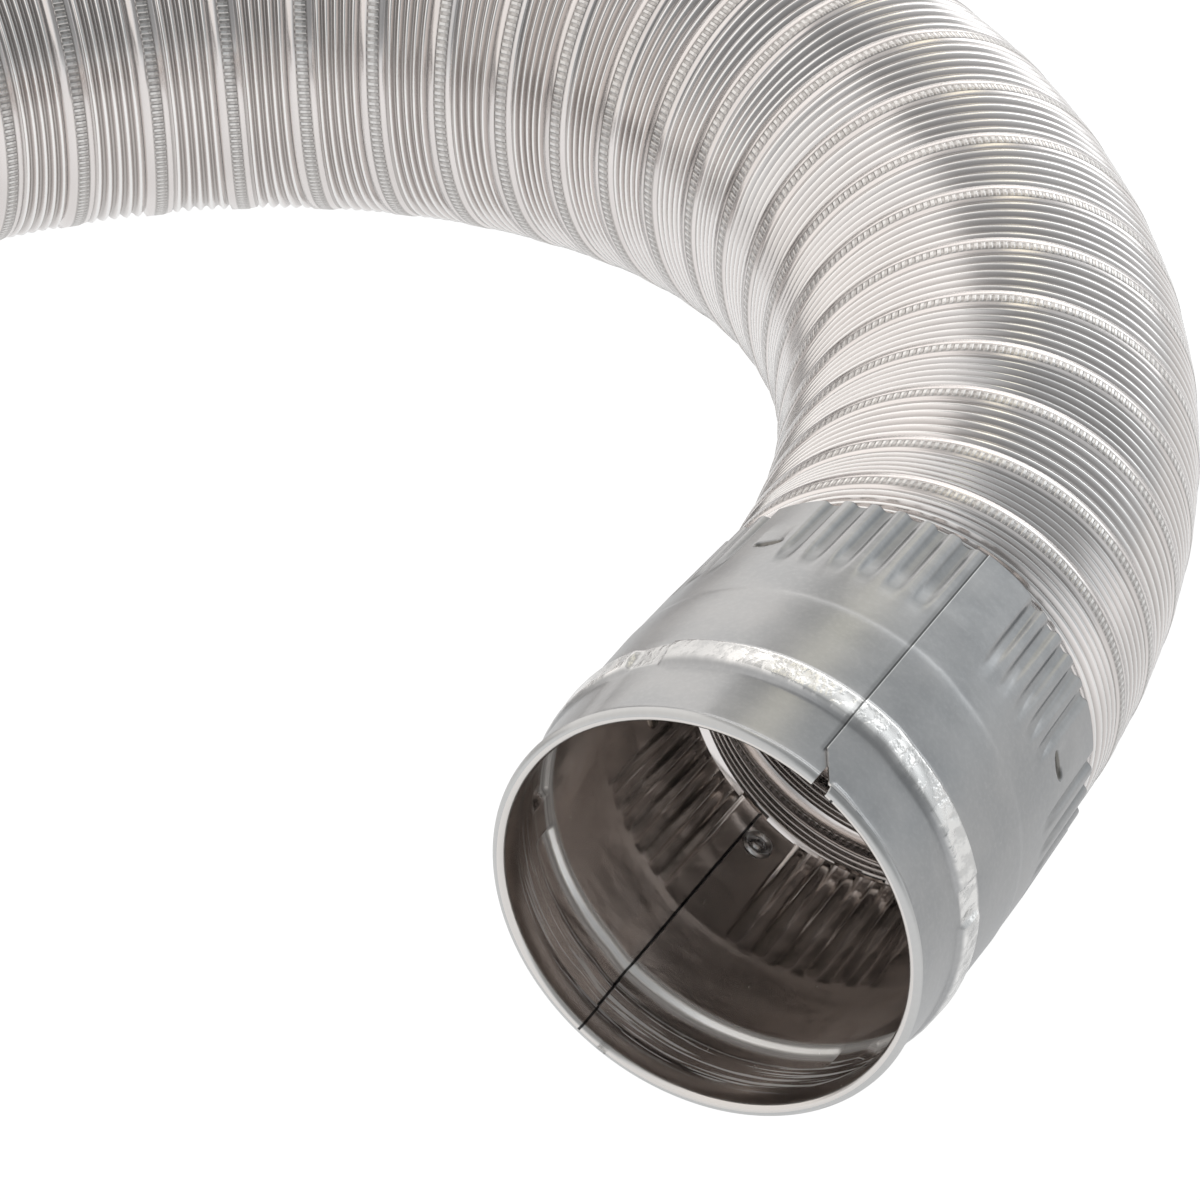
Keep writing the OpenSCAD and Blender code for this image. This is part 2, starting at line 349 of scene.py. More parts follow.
# a turn that is shorter gives its land at most this share, and folds it down beside the seam
LAND_SHARE = 0.46
SHORT_TURN, SHORT_RANGE = 17.2 * MM, 3 * MM
FOLD_DEPTH, FOLD_AT, FOLD_WIDTH = 0.5 * MM, 2.5 * MM, 0.8 * MM

# the ribs that fill the rest of a turn: shares of a rib's width, and the share of its height at each
RIBS = 5
RIB_STEPS = np.array([0, 0.16, 0.34, 0.5, 0.66, 0.84])
RIB_RISE = np.array([0, 0.23, 0.77, 1.0, 0.77, 0.23])
# length of sheet in a rib, so that a narrow rib is a deep one, and twice the least depth
RIB_SHEET, RIB_LEAST = 3.9 * MM, 1.9 * MM
RIB_WANDER, RIB_UNEVEN, RIB_DENTS = 0.10 * MM, 0.10, 0.06 * MM
WANDER_SEED, UNEVEN_SEED, DENTS_SEED = 31, 57, 3
ROWS_A_TURN = len(LAND_ROWS) + RIBS * len(RIB_STEPS)

# the collars crimp the duct down to this radius, fully as far as GRIP_FULL from an end and not past GRIP_NONE
GRIPPED = 48.75 * MM
GRIP_FULL, GRIP_NONE = 8 * MM, 15 * MM
# a face with no corner further in than this from the duct's ends is left out
END_MARGIN = 0.2 * MM


def seam_at(turn):
    return np.interp(turn, np.arange(FIRST_TURN, FIRST_TURN + len(crossings)), crossings)


def strip_grid():
    """Angle of each column, and for each row: distance along at every column, radius there, map, and turn."""
    phi = np.linspace(0, 2 * np.pi, AROUND, endpoint=False)
    rows = []
    for turn in range(FIRST_TURN, LAST_TURN):
        start = seam_at(turn + phi / (2 * np.pi))
        end = seam_at(turn + 1 + phi / (2 * np.pi))
        _, _, bend = line.at((start + end) / 2)
        # more length on the outside of a bend, less on the inside
        share = 1 + bend * CREST * MID_DEPTH * np.cos(np.pi / 2 - phi)
        whole = (end - start) * share
        land = np.minimum(LAND, whole * LAND_SHARE)
        squeeze = land / LAND
        folded = np.clip((SHORT_TURN - whole) / SHORT_RANGE, 0, 1)
        for row, rise in zip(LAND_ROWS, LAND_RISE):
            dip = folded * FOLD_DEPTH * np.exp(-((abs(row) - FOLD_AT) / FOLD_WIDTH) ** 2)
            rows.append((start + row * squeeze / share, CREST + rise - dip, row / MM, turn))
        rib = (whole - land) / RIBS
        deep = 0.5 * np.sqrt(np.maximum(RIB_SHEET ** 2 - rib ** 2, RIB_LEAST ** 2))
        for n in range(RIBS):
            wander = RIB_WANDER * ripple(turn, phi, WANDER_SEED + n)
            tall = 1 + RIB_UNEVEN * ripple(turn + n * 0.4, phi, UNEVEN_SEED + n)
            dents = RIB_DENTS * ripple(turn + n, phi, DENTS_SEED)
            for step, rise in zip(RIB_STEPS, RIB_RISE):
                along = LAND_TO * MM * squeeze + rib * (n + step) + wander * math.sin(math.pi * step)
                radius = CREST - deep * tall * (1 - rise) + dents
                rows.append((start + along / share, radius, LAND_TO + n + step, turn))
    return phi, *(np.array(column) for column in zip(*rows))


def gripped(s, r):
    end = np.minimum(s, line.total - s)
    return r - ease(end, GRIP_NONE, GRIP_FULL) * (CREST - GRIPPED)


def strip_points(phi, s, r):
    """Places of the strip: phi goes round from the top over the right-hand side."""
    inside = np.clip(s, 0, line.total)
    middle, heading, _ = line.at(inside)
    right = np.stack([np.sin(heading), -np.cos(heading), np.zeros_like(heading)], axis=-1)
    up = np.array([0, 0, 1.0])
    out = right * np.sin(phi)[..., None] + up * np.cos(phi)[..., None]
    return middle + gripped(inside, r)[..., None] * out


def with_next_turn(rows):
    """One column past the last is added: the first one, a whole turn further on."""
    return np.concatenate([rows[:-ROWS_A_TURN], rows[ROWS_A_TURN:, :1]], axis=1)


def strip_normals(points):
    """Smooth normals, also where a turn runs into the next one."""
    before = np.concatenate([points[:, :1], points[:, :-1]], axis=1)
    before[ROWS_A_TURN:, 0] = points[:-ROWS_A_TURN, AROUND - 1]
    after = np.concatenate([points[:, 1:], points[:, -1:]], axis=1)
    after[:-ROWS_A_TURN, -1] = points[ROWS_A_TURN:, 1]
    normals = np.cross(after - before, np.gradient(points, axis=0))
    return normals / np.maximum(np.linalg.norm(normals, axis=2, keepdims=True), 1e-12)


phi, row_s, row_r, row_v, row_turn = strip_grid()
wide_s = with_next_turn(row_s)
wide_p = with_next_turn(strip_points(np.broadcast_to(phi, row_s.shape), row_s, row_r))
wide_n = strip_normals(wide_p)
face_s = (wide_s[:-1, :-1] + wide_s[1:, :-1] + wide_s[:-1, 1:] + wide_s[1:, 1:]) / 4


def strip_piece(name, first, last):
    """The strip between two turns of the part's source, cut along mesh edges."""
    low = first * CAD_PITCH if first > 0 else -math.inf
    high = last * CAD_PITCH if last < TURNS else math.inf
    inside = (wide_s > END_MARGIN) & (wide_s < line.total - END_MARGIN)
    kept = inside[:-1, :-1] | inside[1:, :-1] | inside[:-1, 1:] | inside[1:, 1:]
    i, j = np.nonzero((face_s >= low) & (face_s < high) & kept)

    def corner(row, column):
        return row * (AROUND + 1) + column

    quads = np.stack([corner(i, j), corner(i, j + 1), corner(i + 1, j + 1), corner(i + 1, j)], axis=1)
    # the closing column is the first one of the next turn, where that is in the grid
    last_row = len(wide_p) - ROWS_A_TURN - 1
    join = (j == AROUND - 1) & (i < last_row)
    quads[join, 1] = corner(i[join] + ROWS_A_TURN, 0)
    quads[join, 2] = corner(i[join] + 1 + ROWS_A_TURN, 0)
    next_v = np.roll(row_v, -1)
    next_v = np.where(next_v < row_v, LAND_TO + RIBS, next_v)
    uvs = quad_map(row_turn[i] + j / AROUND, row_turn[i] + (j + 1) / AROUND, row_v[i], next_v[i])
    mesh = sheet_mesh(name, wide_p.reshape(-1, 3), quads, uvs, wide_n.reshape(-1, 3))
    mesh.materials.append(strip_metal)
    return new_object(name, mesh)


def make_strip_metal():
    """Bright aluminium. The map holds turns round the duct, and across the strip mm of land and then ribs."""
    dull, bright, white = (0.79, 0.75, 0.735), (0.86, 0.82, 0.805), (0.95, 0.94, 0.93)
    seam_grey, valley_shade, recess_shade = (0.52, 0.505, 0.49), (0.34, 0.32, 0.305), (0.28, 0.26, 0.245)
    seam_edge = 1.6
    shop = Shop(bpy.data.materials.new("bright_strip"))
    around_turns, across = shop.uv("sheet_map")
    # the lock seam: a painted highlight on the teeth, and painted shade in the notches between them and in a
    # groove along both edges
    distance = across.abs()
    teeth = (around_turns * (TEETH * 2 * math.pi)).sin()
    in_seam = distance.step(seam_edge, seam_edge - 0.3)
    notch_shade_mask = in_seam * teeth.step(0.0, 0.6) * distance.step(0.3, 0.9)
    tooth_highlight = in_seam * teeth.step(0.0, -0.7) * (across - 0.4).abs().step(0.9, 0.5)
    groove_shade_mask = (distance - seam_edge).abs().step(0.3, 0.0)
    # the ribs: a painted white highlight along the crests, and painted shade low down between them, where the
    # sheet only sees itself
    in_ribs = across.step(LAND_TO - 0.1, LAND_TO + 0.1)
    beside_crest = ((across - LAND_TO).fract() - 0.5).abs()
    crest_highlight = in_ribs * beside_crest.step(0.2, 0.05)
    low = beside_crest.step(0.12, 0.4) * in_ribs
    grain = shop.noise(shop.vector(around_turns * 30.0, across * 6.0), 1.4, 3.0)
    drift = shop.noise(shop.vector(around_turns * 9.0, across * 0.05), 0.9, 2.0)
    base = shop.mix(drift.step(0.35, 0.65), dull, bright)
    # painted highlight on the crests and painted shade between the ribs
    base = shop.mix(crest_highlight, base, white)
    base = shop.mix(low * 0.6, base, valley_shade)
    base = shop.mix(in_seam * 0.8, base, seam_grey)
    # painted highlight on the teeth, then painted shade in the notches and the grooves
    base = shop.mix(tooth_highlight * 0.55, base, white)
    base = shop.mix((notch_shade_mask * 0.5).max(groove_shade_mask * 0.5), base, recess_shade)
    rough = drift.step(0.3, 0.7, 0.15, 0.2) + in_seam * 0.08 + low * 0.08
    height = in_seam * (teeth.step(-0.6, 0.6, 1.0, 0.0) * 0.3 + 0.2) + grain * 0.02
    return shop.metal(**{"Base Color": base, "Roughness": rough, "Normal": shop.bump(height, 0.7 * MM)})


strip_metal = make_strip_metal()
strip = {name: strip_piece("strip_" + name, first, last) for name, first, last, *_ in SECTIONS}


# ---------- collars ----------

# A collar is two half shells that lap each other. Places round a half are degrees from its own edge of the
# lap, places along it are mm from the mouth, and heights and depths are mm where MM isn't in them.
EDGE_ANGLE = 62.0  # of the right half's edge, from the right-hand side upwards
LAP, LAP_AIR = 9.0, 0.07
SPAN = 188.7
SHEET = 0.6 * MM
LENGTH = 97 * MM
# no dent of the bead stands out of the solid's box
BOX_RADIUS = 54.5 * MM
# the sheet's outside, with a crease across it: place along, and radius
CREASE_FROM, CREASE_TO = 52.5, 54.5
PROFILE = ((0, 52.45), (3, 52.5), (19, 52.85), (31, 53.45), (CREASE_FROM, 53.3), (CREASE_TO, 53.05),
           (70, 52.6), (97, 51.3))
WAVER, WAVER_SEED = 0.05, 5

# the folded lip is a half round of radius LIP that goes on inside as far as HEM, and it stands a little proud
# of the bare sheet behind it
LIP, LIP_CENTRE, LIP_BARE = 1.6 * MM, 51.4 * MM, 52.47 * MM
# from the middle of the lip's front: share of LIP sideways, share of it back, and its place on the map
LIP_SECTION = ((0.0, 0.0, 0.0), (0.38, 0.08, 0.3), (0.71, 0.3, 0.6), (0.92, 0.61, 0.8), (1.0, 1.0, 1.0))
HEM = 8.5 * MM
# where the lip is folded; before that a snipped half's corner is cut off over SNIP, and after it the sheet
# starts behind the other half's hem
HEM_FROM, HEM_TO = 7.0, 182.98
SNIP, UNDER_HEM = 10 * MM, 9.5 * MM

# the bead stops at two gaps, with a knob at each end of it
BEAD_AT, BEAD_HALF, BEAD_RISE = 25, 5.3, 1.4
BEAD_UNEVEN, BEAD_SEED = 0.1, 11
BEAD_MIDDLE = 0.8  # height between the gaps, as a share
BEAD_GAPS = ((52.5, 60.5), (119.5, 127.5))
GAP_SLOPE = 2.2
KNOB_RISE, KNOB_AWAY, KNOB_SPAN, KNOB_LENGTH = 0.35, 2.4, 1.7, 2.0

# each group of flutes: from, to, and their number; they deepen towards the end, and marks lie ahead of them
FLUTES = ((14, 47.6, 5), (60.5, 119.5, 8), (132.3, 178, 6))
FLUTE_DEPTH, FLUTE_RAMP, FLUTE_DEEPENS = 1.4, (64, 79), (74, 97)
MARK_DEPTH, MARK_STARTS, MARK_ENDS = 0.3, (CREASE_TO, 57), (69, 75)

# between the groups, a lens-shaped opening each, with a sunken tab behind it
LANCES = (52.5, 127.5)
LANCE_AT, LANCE_HALF_LENGTH, LANCE_HALF_SPAN = 77.4, 2.1, 4.6
LANCE_DEPTH = 0.8
TAB_DEPTH, TAB_HALF_SPAN, TAB_FROM, TAB_ENDS = 0.6, 4.2, 75.8, (77.5, 87)

RIVET_AT, RIVET_RADIUS = 86 * MM, 51.23 * MM
# the sheet's map goes back along the outside to MAP_REAR and forward inside to MAP_ROUND
MAP_REAR, MAP_ROUND = LENGTH / MM, 2 * LENGTH / MM
SHARP = math.radians(50)


def collar_radius(y):
    return np.interp(y / MM, *zip(*PROFILE)) * MM


def bead_height(off, y):
    """The rolled bead, a little dented, with a round knob where each length of it ends."""
    across = np.clip(np.abs(y / MM - BEAD_AT) / BEAD_HALF, 0, 1)
    dents = ripple(off / 5, y / (4 * MM), BEAD_SEED)
    cross = BEAD_RISE * MM * (1 - ease(across, 0.55, 1.0)) * (1 + BEAD_UNEVEN * dents)
    along = np.where((off > BEAD_GAPS[0][1]) & (off < BEAD_GAPS[1][0]), BEAD_MIDDLE, 1.0)
    knobs = 0
    for low, high in BEAD_GAPS:
        along = along * (1 - ease(off, low - GAP_SLOPE, low) * (1 - ease(off, high, high + GAP_SLOPE)))
        for end in (low - KNOB_AWAY, high + KNOB_AWAY):
            knobs = knobs + np.exp(-((off - end) / KNOB_SPAN) ** 2 - ((y / MM - BEAD_AT) / KNOB_LENGTH) ** 2)
    return cross * along + KNOB_RISE * MM * knobs


def flute_wave(off):
    """From 0 on the crests to 1 along the middle of each flute."""
    out = np.zeros_like(off)
    for low, high, count in FLUTES:
        wave = 0.5 - 0.5 * np.cos(2 * np.pi * (off - low) / (high - low) * count)
        out = np.where((off > low) & (off < high), ease(wave, 0.05, 0.95), out)
    return out


def flute_depth(off, y):
    """How far the crimped end is pushed in between its crests."""
    return (flute_wave(off) * FLUTE_DEPTH * MM * ease(y / MM, *FLUTE_RAMP)
            * (0.8 + 0.2 * ease(y / MM, *FLUTE_DEEPENS)))


def inner_marks(off, y):
    """Inside, the crimping rolls leave shallow marks ahead of the flutes."""
    return (MARK_DEPTH * MM * (flute_wave(off) - 0.5) * ease(y / MM, *MARK_STARTS)
            * (1 - ease(y / MM, *MARK_ENDS)))


def lance_gap(off, y):
    """From 1 in the middle of the nearest lance's opening to 0 at its rim."""
    aside = np.min([np.abs(off - centre) for centre in LANCES], axis=0)
    return 1 - np.clip(np.hypot(aside / LANCE_HALF_SPAN, (y / MM - LANCE_AT) / LANCE_HALF_LENGTH), 0, 1)


def lance_press(off, y):
    """The lens-shaped opening of each lance, and the tab behind it rising to the sheet again."""
    side = sum(np.clip(1 - ((off - centre) / TAB_HALF_SPAN) ** 2, 0, 1) for centre in LANCES)
    tab = TAB_DEPTH * MM * side * ease(y / MM, TAB_FROM, LANCE_AT) * (1 - ease(y / MM, *TAB_ENDS))
    return tab + LANCE_DEPTH * MM * ease(lance_gap(off, y), 0.0, 0.25)


def lap_rise(off):
    """The half's own edge lies on the other half."""
    return (SHEET + LAP_AIR * MM) * (1 - ease(off, LAP, 2 * LAP))


def shell_lines():
    """Degrees from the lap's edge, closer together where something happens."""
    marks = np.concatenate([
        [0, 0.12, 0.3], np.linspace(0.5, HEM_FROM, 12), np.linspace(7.02, LAP, 4), np.arange(9.6, 183, 0.34),
        [HEM_TO, 183.0], np.linspace(183.5, SPAN, 7)])
    return np.unique(np.round(marks, 3))


def outside_steps():
    """Distances from the mouth, closer together at the lip, the bead, the crease and the lances."""
    return np.concatenate([
        [1.7, 2.1, 2.5, 2.9, 3.3], np.arange(4.5, 19, 2.4), np.arange(19.2, 31.2, 0.6),
        [32, 36, 42, 48, 52, 53.2, 53.8, 54.3, 54.8, 55.4, 57, 61, 65, 68], np.arange(68.6, 75, 0.6),
        np.arange(75.2, 79.8, 0.3), np.arange(80.4, 96, 1.7), [96.2, 97.0]]) * MM


def shell_section(off, snipped):
    """Rows round the sheet's section, starting at the front of the lip: distance back, radius, map."""
    snip = snipped & (off < HEM_FROM)
    start = np.where(snip, SNIP * (1 - off / HEM_FROM), 0)
    start = np.where(off >= HEM_TO, UNDER_HEM, start)
    hemmed = ~snip & (off < HEM_TO)

    def sheet_at(y):
        y = np.maximum(y, start)
        r = collar_radius(y) + bead_height(off, y) - flute_depth(off, y) - lance_press(off, y) + lap_rise(off)
        proud = np.where(hemmed, LIP_CENTRE + LIP - LIP_BARE, 0) * (1 - ease(y / MM, 1.7, 3.2))
        return y, r + proud + WAVER * MM * ripple(off / 9, y / (16 * MM), WAVER_SEED)

    def lip(aside, back):
        y, r = sheet_at(LIP)
        bare = r if aside >= 0 else r - SHEET
        return np.where(hemmed, LIP * back, y), np.where(hemmed, LIP_CENTRE + LIP * aside, bare)

    table = [(*lip(aside, back), mark) for aside, back, mark in LIP_SECTION]
    steps = outside_steps()
    table += [(*sheet_at(y), y / MM) for y in steps]
    y, r = sheet_at(LENGTH)
    table.append((y, r - SHEET / 2, MAP_REAR + 0.2))
    for y in steps[steps > HEM + 0.5 * MM][::-1]:
        back, r = sheet_at(y)
        table.append((back, r - SHEET - inner_marks(off, y), MAP_ROUND - y / MM))
    # the hem's end stands on the sheet, and the hem goes forward to the lip
    hem = LIP_CENTRE - LIP
    for y, radius in ((HEM + 0.4 * MM, None), (HEM, hem + 0.15 * MM), (HEM - 0.4 * MM, hem), (4 * MM, hem)):
        back, r = sheet_at(y)
        bare = r - SHEET
        table.append((back, bare if radius is None else np.where(hemmed, radius, bare), MAP_ROUND - y / MM))
    return table + [(*lip(-aside, back), MAP_ROUND - mark) for aside, back, mark in LIP_SECTION[:0:-1]]


def press_map(off, table):
    """For the metal: how deep in a flute and how far inside a lance's opening each point lies."""
    rows = []
    for y, _, place in table:
        outer = place < MAP_REAR + 0.5
        flute = flute_depth(off, y) / MM if outer else flute_wave(off) * ease(y / MM, CREASE_TO, 56.5)
        rows.append(np.stack([flute, lance_gap(off, y)], axis=1))
    return np.concatenate(rows)


def cut_edge(grid, table, run, column):
    """Quads over the sheet's thickness along its first or last column, each with its outer row."""
    rear = int(np.argmax(run > MAP_REAR))
    back = np.array([row[0][column] for row in table])
    facing = [rear + int(np.argmin(np.abs(back[rear:] - back[i]))) for i in range(rear)]
    for i in range(rear - 1):
        quad = [grid[row, column] for row in (i, i + 1, facing[i + 1], facing[i])]
        if len(set(quad)) == 4:
            yield quad, i


def shell_mesh(name, turn, snipped):
    off = shell_lines()
    table = shell_section(off, snipped)
    angle = np.radians(EDGE_ANGLE + turn - off)
    limit = BOX_RADIUS / np.maximum(np.abs(np.cos(angle)), np.abs(np.sin(angle)))
    points = []
    for y, r, _ in table:
        r = np.minimum(r, limit)
        points.append(np.stack([r * np.cos(angle), y, r * np.sin(angle)], axis=1))
    run = np.array([row[2] for row in table] + [MAP_ROUND])
    count = len(table)
    grid = np.arange(count * len(off)).reshape(count, len(off))
    quads, uvs = [], []
    for i in range(count):
        a, b = grid[i], grid[(i + 1) % count]
        quads.append(np.stack([a[:-1], a[1:], b[1:], b[:-1]], axis=1))
        v0, v1 = np.full(len(off) - 1, run[i]), np.full(len(off) - 1, run[i + 1])
        uvs.append(quad_map(off[:-1], off[1:], v0, v1))
    for column in (0, -1):
        for quad, i in cut_edge(grid, table, run, column):
            quads.append(np.array([quad]))
            uvs.append(np.array([[off[column], run[i]] * 4]))
    mesh = sheet_mesh(name, np.concatenate(points), np.concatenate(quads), np.concatenate(uvs),
                      pressed=press_map(off, table))
    mesh.set_sharp_from_angle(angle=SHARP)
    return mesh


def make_collar_metal():
    """Galvanised sheet. Its map holds degrees from the lap's edge, and mm along outside and back inside."""
    zinc_dark, zinc_light, spangles = (0.385, 0.392, 0.40), (0.455, 0.457, 0.46), (0.60, 0.60, 0.60)
    inner_lit_warm, wear_and_highlight, highlight_white = (0.80, 0.735, 0.69), (0.74, 0.74, 0.73), (0.95, 0.945, 0.93)
    inner_shadow, flute_shadow = (0.25, 0.23, 0.21), (0.16, 0.17, 0.175)
    opening_shade, shade_dark = (0.19, 0.18, 0.16), (0.06, 0.06, 0.06)
    shop = Shop(bpy.data.materials.new("galvanised_sheet"))
    off, run = shop.uv("sheet_map")
    flute, gap = shop.uv("press_map")
    inside = run.step(96.8, 97.6)
    outside = 1.0 - inside

    # the sheet as it comes from the mill, painted lighter and warmer inside to stand in for the light
    # bouncing round the bore
    place = shop.vector(off * 0.9, run)
    cloudy = shop.noise(place, 0.055, 3.0, 0.5)
    spangle = shop.noise(place, 0.75, 3.0, 0.65)
    rolled = shop.noise(shop.vector(off * 0.05, run * 1.6), 1.0, 3.0, 0.6)
    base = shop.mix(cloudy.step(0.3, 0.7), zinc_dark, zinc_light)
    base = shop.mix(spangle.step(0.4, 0.75) * 0.2, base, spangles)
    # inside, a lighter and warmer copy of the sheet's colour, as painted light
    base = shop.mix(inside * 0.9, base, inner_lit_warm)

    # scuffs, the lip made lighter, and a painted highlight along the sheet's edge
    scuffs = shop.noise(shop.vector(off * 0.35, run * 0.16), 0.9, 5.0, 0.7).step(0.66, 0.76)
    lip = run.step(1.5, 0.9).max(run.step(192.6, 193.2))
    # a painted highlight along the outer half's edge
    edge_highlight = off.step(0.32, 0.14) * outside
    base = shop.mix((scuffs * 0.3).max(lip * 0.55).max(edge_highlight), base, wear_and_highlight)

    # the bead gets a painted highlight in patches, weaker along the stretch where its first length ends,
    # which is left in painted shade
    bead = (run - 25.5).abs().step(4.8, 3.4)
    glint = shop.noise(shop.vector(off * 0.9, run * 0.5), 0.3, 3.0, 0.6).step(0.42, 0.6)
    # the stretch where the bead's first length ends: its painted highlight is weaker there, standing in for
    # shade
    dull = off.step(112, 120) * off.step(152, 138)
    bead_highlight = bead * (0.6 + glint * 0.4) * (1.0 - dull * 0.6)
    # inside, a painted highlight along the bead
    inner_bead_highlight = (run - 165.0).abs().step(3.2, 2.0) * 0.9
    # inside, painted reflections in a duller white on the bead and on the strip of sheet behind the lip
    streaks = shop.noise(shop.vector(off * 0.035, run * 0.9), 1.0, 2.0, 0.5)
    behind_lip = run.step(169, 173) * run.step(190, 186)
    inner_reflection = streaks.step(0.48, 0.6) * behind_lip * (off.step(75, 120) + off.step(75, 40) * 0.7)
    inner_reflection = (inner_reflection * 0.9).max((run - 165.5).abs().step(3.8, 1.8) * (0.25 + streaks * 0.7))
    # painted highlights and reflections on the bead, outside and in
    base = shop.mix(bead_highlight.max(inner_bead_highlight).max(inner_reflection), base, highlight_white)

    # the flutes are dark where they only see each other, more so towards the right
    base = shop.mix(flute.step(0.3, 0.7) * 0.45 * inside, base, inner_shadow)
    ramp = flute.step(0.02, 0.3) * run.step(80, 70) * 0.55
    shaded = outside * off.step(50, 90, 0.4, 1.0)
    base = shop.mix((flute.step(0.3, 1.0) * 0.5).max(ramp) * shaded, base, flute_shadow)

    # painted shade: the lances' openings with their front rims, and the corners that an edge makes with the
    # sheet below
    base = shop.mix(gap.step(0.03, 0.15) * 0.85, base, opening_shade)
    gap_rim_shade = (gap - 0.07).abs().step(0.07, 0.03) * run.step(77.6, 76.6)
    # painted shade in the corners beside the laps' edges, outside and inside
    corner = (off - 179.8).abs().step(0.45, 0.12) * 0.6 + (off - 179.3).abs().step(1.1, 0.2) * 0.3
    corner = corner * outside * run.step(8.5, 10.0)
    corner = corner + (off - 9.1).abs().step(0.5, 0.2) * inside
    base = shop.mix(corner.max(gap_rim_shade * 0.8), base, shade_dark)

    rough = cloudy.step(0.3, 0.7, 0.30, 0.36) + scuffs * 0.08 - inside * 0.09 - bead * 0.06
    # the surface, then the sheet's swell ahead of the bead, outside and inside
    height = cloudy * (0.9 - inside * 0.7) + spangle * 0.035 + rolled * (0.02 + inside * 0.06)
    height = height + run.step(28.5, 21.5) * outside * (1.0 - dull) * 2.4 + bead * glint * 0.35
    height = height + inside * run.step(169.0, 162.0) * (1.2 + cloudy * 2.0)
    # less metallic where the inside's reflections are painted
    return shop.metal(**{"Base Color": base, "Roughness": rough, "Normal": shop.bump(height, 0.6 * MM, 0.5),
                         "Metallic": inner_reflection.step(0.0, 1.0, 1.0, 0.3)})


def make_rivet_metal():
    shop = Shop(bpy.data.materials.new("rivet_steel"))
    cloudy = shop.noise(shop.node("ShaderNodeTexCoord").out("Object"), 500.0, 3.0)
    base = shop.mix(cloudy.step(0.35, 0.65), (0.41, 0.415, 0.42), (0.50, 0.50, 0.50))
    return shop.metal(**{"Base Color": base, "Roughness": cloudy.step(0.3, 0.7, 0.24, 0.34),
                         "Normal": shop.bump(cloudy, 0.3 * MM, 0.4)})


def lathe(name, outline, place, direction):
    """A small turned piece: outline is (radius, height) from its foot to its top."""
    sides = 40
    z = np.array(direction, float) / np.linalg.norm(direction)
    x = np.array([0.0, 1.0, 0.0])
    y = np.cross(z, x)
    turn = np.linspace(0, 2 * np.pi, sides, endpoint=False)[:, None]
    points = [np.array(place) + z * h + r * (np.cos(turn) * x + np.sin(turn) * y) for r, h in outline]
    grid = np.arange(len(outline) * sides).reshape(len(outline), sides)
    k = np.arange(sides)
    quads, uvs = [], []
    for i in range(len(outline) - 1):
        a, b = grid[i], grid[i + 1]
        quads.append(np.stack([a, np.roll(a, -1), np.roll(b, -1), b], axis=1))
        v0, v1 = np.full(sides, i * 0.1), np.full(sides, i * 0.1 + 0.1)
        uvs.append(quad_map(k / sides, (k + 1) / sides, v0, v1))
    mesh = sheet_mesh(name, np.vstack(points), np.concatenate(quads), np.concatenate(uvs))
    mesh.set_sharp_from_angle(angle=SHARP)
    return mesh


def joined(name, meshes):
    parts = [new_object(name if i == 0 else name + "_part", m) for i, m in enumerate(meshes)]
    bpy.ops.object.select_all(action="DESELECT")
    for part in parts:
        part.select_set(True)
    bpy.context.view_layer.objects.active = parts[0]
    bpy.ops.object.join()
    return parts[0]


def rivets(name, shift):
    """A clinched rivet in each lap: a ringed button inside, closed below the outer sheet's face."""
    button = [(0, 1.1), (0.9, 1.05), (1.6, 0.7), (1.9, 0.15), (2.4, 0.1), (2.8, 0.55), (3.3, 0.8),
              (3.7, 0.55), (3.9, 0.0), (3.8, -0.05), (1.6, -0.05), (1.6, -0.7), (2.3, -0.75), (2.2, -0.9),
              (0, -0.92)]
    outline = [(max(r, 0.001) * MM, h * MM) for r, h in button]
    meshes = []
    for degrees in (EDGE_ANGLE - LAP / 2, EDGE_ANGLE - LAP / 2 + 180):
        out = np.array([math.cos(math.radians(degrees)), 0, math.sin(math.radians(degrees))])
        place = shift + out * RIVET_RADIUS + np.array([0, RIVET_AT, 0])
        meshes.append(lathe(name, outline, place, -out))
    piece = joined(name, meshes)
    piece.data.materials.append(rivet_metal)
    return piece


def collar(prefix, shift):
    """The right half, the left half, which is the same pressing turned half a turn, and the rivets."""
    pieces = []
    for side, turn, snipped in (("right", 0, True), ("left", 180, False)):
        name = prefix + "_" + side + "_pressing"
        mesh = shell_mesh(name, turn, snipped)
        mesh.transform(Matrix.Translation(shift))
        mesh.materials.append(collar_metal)
        pieces.append(new_object(name, mesh))
    return pieces + [rivets(prefix + "_clinch_rivets", shift)]


collar_metal = make_collar_metal()
rivet_metal = make_rivet_metal()
front = collar("front", np.zeros(3))
rear = collar("rear", REAR_MOUTH)


# ---------- what each piece rides on ----------

COLLAR_NODES = (("_right_shell", "collar_sheet"), ("_left_shell", "collar_sheet"), ("_rivets", "rivet"))

for prefix, pieces in (("front", front), ("rear", rear)):
    for piece, (node, slot) in zip(pieces, COLLAR_NODES):
        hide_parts(prefix + node)
        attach(piece, prefix + "_collar")


def flexes(name, first, last, body_a, body_b, margin):
    """The strip between two bodies, with its placement baked into its mesh."""
    (start, end), _, _ = line.at(np.array([first, last]) * CAD_PITCH)
    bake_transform(strip[name])


for name, first, last, *carriers in SECTIONS:
    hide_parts("duct_" + name)
    if len(carriers) == 1:
        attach(strip[name], carriers[0])
    else:
        flexes(name, first, last, *carriers)


# ---------- floor and light ----------

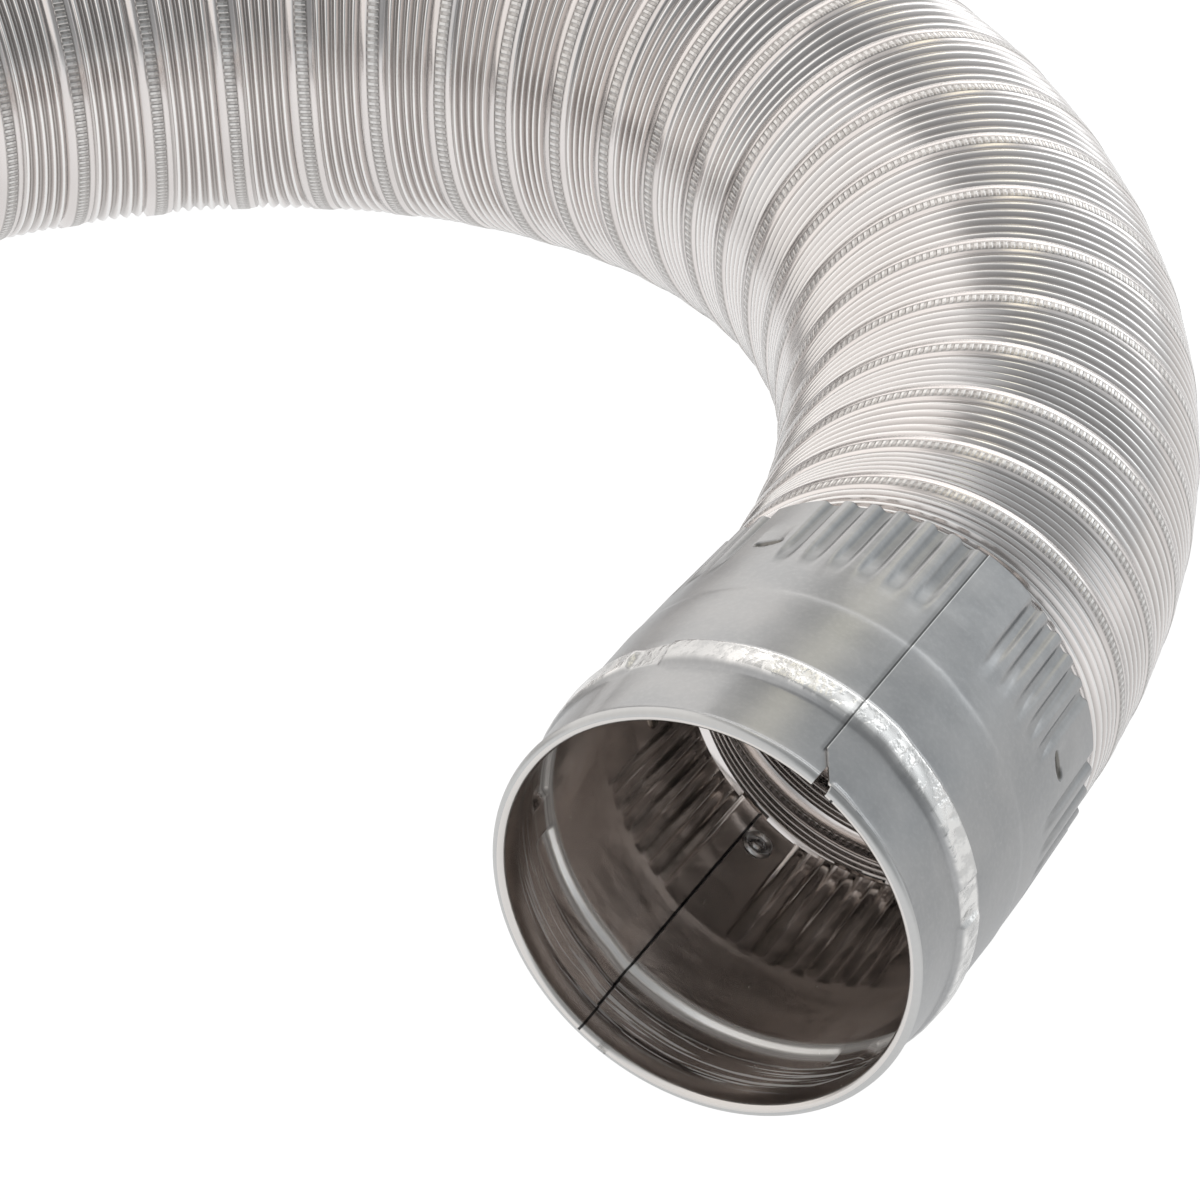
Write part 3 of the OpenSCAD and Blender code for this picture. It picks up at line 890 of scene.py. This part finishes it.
def plain_floor():
    """White where it is seen. Where the metal mirrors it, it is dimmer, most of all behind at the right."""
    half = 6
    white, grey = (1, 1, 1, 1), (0.65, 0.65, 0.65, 1)
    glow_power, to_camera, to_metal, dimmed = 1.12, 0.9, 0.7, 0.35
    z = CAD_BOX[0][2]
    mesh = bpy.data.meshes.new("floor")
    mesh.from_pydata([(-half, -half, z), (half, -half, z), (half, half, z), (-half, half, z)], [],
                     [(0, 1, 2, 3)])
    piece = new_object("floor", mesh)
    shop = Shop(bpy.data.materials.new("white_floor"))
    diffuse = shop.node("ShaderNodeBsdfDiffuse", None, Color=grey)
    glow = shop.node("ShaderNodeEmission", None, Color=white, Strength=glow_power)
    path = shop.node("ShaderNodeLightPath")
    x, y, _ = shop.parts(shop.node("ShaderNodeTexCoord").out("Object"))
    mirrored = to_metal - x.step(0.0, 0.15) * y.step(0.0, 0.12) * dimmed
    seen = path.out("Is Camera Ray") * to_camera + path.out("Is Glossy Ray") * mirrored
    both = shop.node("ShaderNodeMixShader", None, seen, diffuse.out(), glow.out())
    mesh.materials.append(shop.ends_in(both))


def area_light(name, place, target, size, power):
    data = bpy.data.lights.new(name, "AREA")
    data.shape = "RECTANGLE"
    data.size, data.size_y = size
    data.energy = power
    lamp = new_object(name, data)
    lamp.location = place
    lamp.rotation_euler = (Vector(target) - Vector(place)).to_track_quat("-Z", "Y").to_euler()
    return lamp


def studio():
    """A room of light: white over the left half, dim over the right half and brighter towards the back.

    It has a bright wall straight behind, a lit wall in front and a narrow warm lamp high up behind."""
    dim, bright, front_wall = 0.33, 1.08, 0.95
    cool, warm, lamplight = (0.95, 0.975, 0.99), (1.0, 0.975, 0.95), (1.0, 0.93, 0.72)
    world = bpy.data.worlds.new("studio")
    bpy.context.scene.world = world
    shop = Shop(world, "ShaderNodeOutputWorld")
    dx, dy, dz = shop.parts(shop.node("ShaderNodeTexCoord").out("Generated"))
    wall = dy.step(0.84, 0.92)
    right_side = dim + dy.step(-0.1, 0.85) * (0.36 - dx.step(0.1, 0.4) * 0.1) + wall * 1.1
    right_side = right_side + dz.step(0.45, 0.05) * 0.19
    left_side = bright + dy.step(0.4, 0.7) * 0.15 + wall * 0.3
    # straight overhead the white half reaches further to the right
    on_left = (dx - dy.step(0.4, 0.0) * 0.28).step(-0.30, -0.48)
    in_front = dy.step(0.0, -0.45) * dx.step(0.4, 0.0).max(dz.step(0.25, 0.05))
    # the lamp, with a darker strip on both sides of it
    beside_lamp = (dx + 0.08).abs()
    near_lamp = dy.step(0.5, 0.65) * dz.step(0.5, 0.58)
    lamp = beside_lamp.step(0.10, 0.04) * near_lamp
    right_side = right_side - beside_lamp.step(0.26, 0.14) * near_lamp * 0.15
    power = (right_side.towards(left_side, on_left) + lamp).towards(front_wall, in_front)
    colour = shop.mix(lamp * 0.8, shop.mix(dx.step(0.3, -0.4), cool, warm), lamplight)
    shop.ends_in(shop.node("ShaderNodeBackground", None, Color=colour, Strength=power))


plain_floor()
studio()
softbox = area_light("top_softbox", place=(-0.9, 1.4, 2.6), target=(-0.1, 0.15, 0), size=(1.8, 1.4), power=24)
softbox.visible_glossy = False

bpy.context.scene.view_settings.view_transform = "Standard"
